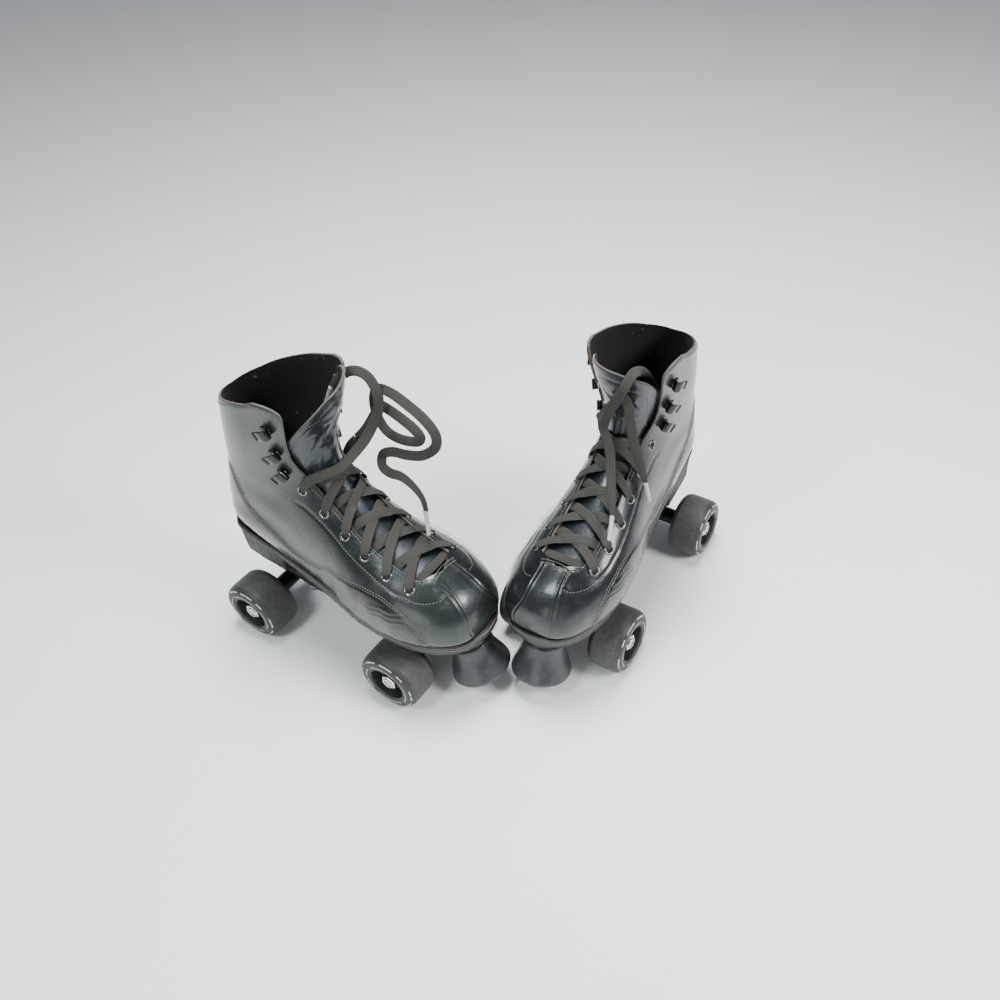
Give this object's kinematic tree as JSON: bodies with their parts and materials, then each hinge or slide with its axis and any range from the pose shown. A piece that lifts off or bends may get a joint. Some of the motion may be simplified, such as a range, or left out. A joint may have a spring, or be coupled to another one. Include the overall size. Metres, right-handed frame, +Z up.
{
  "type": "quad roller skates",
  "caption": "High-top lace-up quad roller skates with rubber toe stops, sprung steering trucks and free-spinning wheels, standing toe to toe.",
  "frame": {"origin": "on the floor, under the middle of the box round the pair without the free lace ends", "axes": "+Z up; the right skate points along +X, the left skate along -Y"},
  "size_m": [0.3506, 0.3266, 0.2766],
  "materials": {
    "boot_leather": "pearlescent dark coated leather with stitching",
    "tongue_leather": "soft dark coated leather",
    "felt_lining": "napped dark felt lining",
    "sole_rubber": "semi-matte black rubber",
    "lace_cotton": "flat woven dark taupe lace",
    "plate_nylon": "glossy black moulded plastic",
    "stop_rubber": "dark grey moulded rubber",
    "plated_steel": "zinc plated",
    "truck_metal": "black coated casting",
    "cushion_rubber": "moulded urethane cushion",
    "wheel_polyurethane": "cast grey polyurethane, worn satin",
    "wheel_core": "moulded hub in dark olive grey",
    "bright_nut": "bright plated lock nut"
  },
  "bodies": {
    "right_truck_front": {"right_hanger_front": "truck_metal", "right_axle_front": "plated_steel", "right_front_outer_nut": "bright_nut", "right_front_inner_nut": "bright_nut"},
    "right_front_outer_wheel": {"right_front_outer_tyre": "wheel_polyurethane", "right_front_outer_core": "wheel_core"},
    "right_front_inner_wheel": {"right_front_inner_tyre": "wheel_polyurethane", "right_front_inner_core": "wheel_core"},
    "right_truck_rear": {"right_hanger_rear": "truck_metal", "right_axle_rear": "plated_steel", "right_rear_outer_nut": "bright_nut", "right_rear_inner_nut": "bright_nut"},
    "right_rear_outer_wheel": {"right_rear_outer_tyre": "wheel_polyurethane", "right_rear_outer_core": "wheel_core"},
    "right_rear_inner_wheel": {"right_rear_inner_tyre": "wheel_polyurethane", "right_rear_inner_core": "wheel_core"},
    "right_skate": {"right_upper": "boot_leather", "right_tongue": "tongue_leather", "right_insole": "felt_lining", "right_outsole": "sole_rubber", "right_lace": "lace_cotton", "right_lace_end_a": "lace_cotton", "right_lace_end_b": "lace_cotton", "right_plate": "plate_nylon", "right_toe_stop": "stop_rubber", "right_toe_stop_stem": "plated_steel", "right_kingpin_front": "plated_steel", "right_cushion_front": "cushion_rubber", "right_kingpin_rear": "plated_steel", "right_cushion_rear": "cushion_rubber"},
    "left_truck_front": {"left_hanger_front": "truck_metal", "left_axle_front": "plated_steel", "left_front_outer_nut": "bright_nut", "left_front_inner_nut": "bright_nut"},
    "left_front_outer_wheel": {"left_front_outer_tyre": "wheel_polyurethane", "left_front_outer_core": "wheel_core"},
    "left_front_inner_wheel": {"left_front_inner_tyre": "wheel_polyurethane", "left_front_inner_core": "wheel_core"},
    "left_truck_rear": {"left_hanger_rear": "truck_metal", "left_axle_rear": "plated_steel", "left_rear_outer_nut": "bright_nut", "left_rear_inner_nut": "bright_nut"},
    "left_rear_outer_wheel": {"left_rear_outer_tyre": "wheel_polyurethane", "left_rear_outer_core": "wheel_core"},
    "left_rear_inner_wheel": {"left_rear_inner_tyre": "wheel_polyurethane", "left_rear_inner_core": "wheel_core"},
    "left_skate": {"left_upper": "boot_leather", "left_tongue": "tongue_leather", "left_insole": "felt_lining", "left_outsole": "sole_rubber", "left_lace": "lace_cotton", "left_lace_end_a": "lace_cotton", "left_lace_end_b": "lace_cotton", "left_plate": "plate_nylon", "left_toe_stop": "stop_rubber", "left_toe_stop_stem": "plated_steel", "left_kingpin_front": "plated_steel", "left_cushion_front": "cushion_rubber", "left_kingpin_rear": "plated_steel", "left_cushion_rear": "cushion_rubber"}
  },
  "joints": [
    {"name": "left_lift", "type": "slide", "parent": "right_skate", "child": "left_skate", "axis": [0, 0, 1], "range_m": [0, 0.12]},
    {"name": "right_steer_front", "type": "hinge", "parent": "right_skate", "child": "right_truck_front", "pos_m": [-0.0123, -0.1007, 0.038], "axis": [0.9667, 0, 0.2559], "range_deg": [-8, 8], "stiffness_Nm_per_rad": 20, "deforming": ["right_cushion_front"]},
    {"name": "right_front_outer_spin", "type": "hinge", "parent": "right_truck_front", "child": "right_front_outer_wheel", "pos_m": [0.0127, -0.1437, 0.029], "axis": [0, 1, 0], "continuous": true},
    {"name": "right_front_inner_spin", "type": "hinge", "parent": "right_truck_front", "child": "right_front_inner_wheel", "pos_m": [0.0127, -0.0577, 0.029], "axis": [0, 1, 0], "continuous": true},
    {"name": "right_steer_rear", "type": "hinge", "parent": "right_skate", "child": "right_truck_rear", "pos_m": [-0.1213, -0.1007, 0.038], "axis": [-0.9667, 0, 0.2559], "range_deg": [-8, 8], "stiffness_Nm_per_rad": 20, "deforming": ["right_cushion_rear"]},
    {"name": "right_rear_outer_spin", "type": "hinge", "parent": "right_truck_rear", "child": "right_rear_outer_wheel", "pos_m": [-0.1463, -0.1437, 0.029], "axis": [0, 1, 0], "continuous": true},
    {"name": "right_rear_inner_spin", "type": "hinge", "parent": "right_truck_rear", "child": "right_rear_inner_wheel", "pos_m": [-0.1463, -0.0577, 0.029], "axis": [0, 1, 0], "continuous": true},
    {"name": "left_steer_front", "type": "hinge", "parent": "left_skate", "child": "left_truck_front", "pos_m": [0.1127, 0.0003, 0.038], "axis": [0, -0.9667, 0.2559], "range_deg": [-8, 8], "stiffness_Nm_per_rad": 20, "deforming": ["left_cushion_front"]},
    {"name": "left_front_outer_spin", "type": "hinge", "parent": "left_truck_front", "child": "left_front_outer_wheel", "pos_m": [0.1557, -0.0247, 0.029], "axis": [1, 0, 0], "continuous": true},
    {"name": "left_front_inner_spin", "type": "hinge", "parent": "left_truck_front", "child": "left_front_inner_wheel", "pos_m": [0.0697, -0.0247, 0.029], "axis": [1, 0, 0], "continuous": true},
    {"name": "left_steer_rear", "type": "hinge", "parent": "left_skate", "child": "left_truck_rear", "pos_m": [0.1127, 0.1093, 0.038], "axis": [0, 0.9667, 0.2559], "range_deg": [-8, 8], "stiffness_Nm_per_rad": 20, "deforming": ["left_cushion_rear"]},
    {"name": "left_rear_outer_spin", "type": "hinge", "parent": "left_truck_rear", "child": "left_rear_outer_wheel", "pos_m": [0.1557, 0.1343, 0.029], "axis": [1, 0, 0], "continuous": true},
    {"name": "left_rear_inner_spin", "type": "hinge", "parent": "left_truck_rear", "child": "left_rear_inner_wheel", "pos_m": [0.0697, 0.1343, 0.029], "axis": [1, 0, 0], "continuous": true}
  ]
}
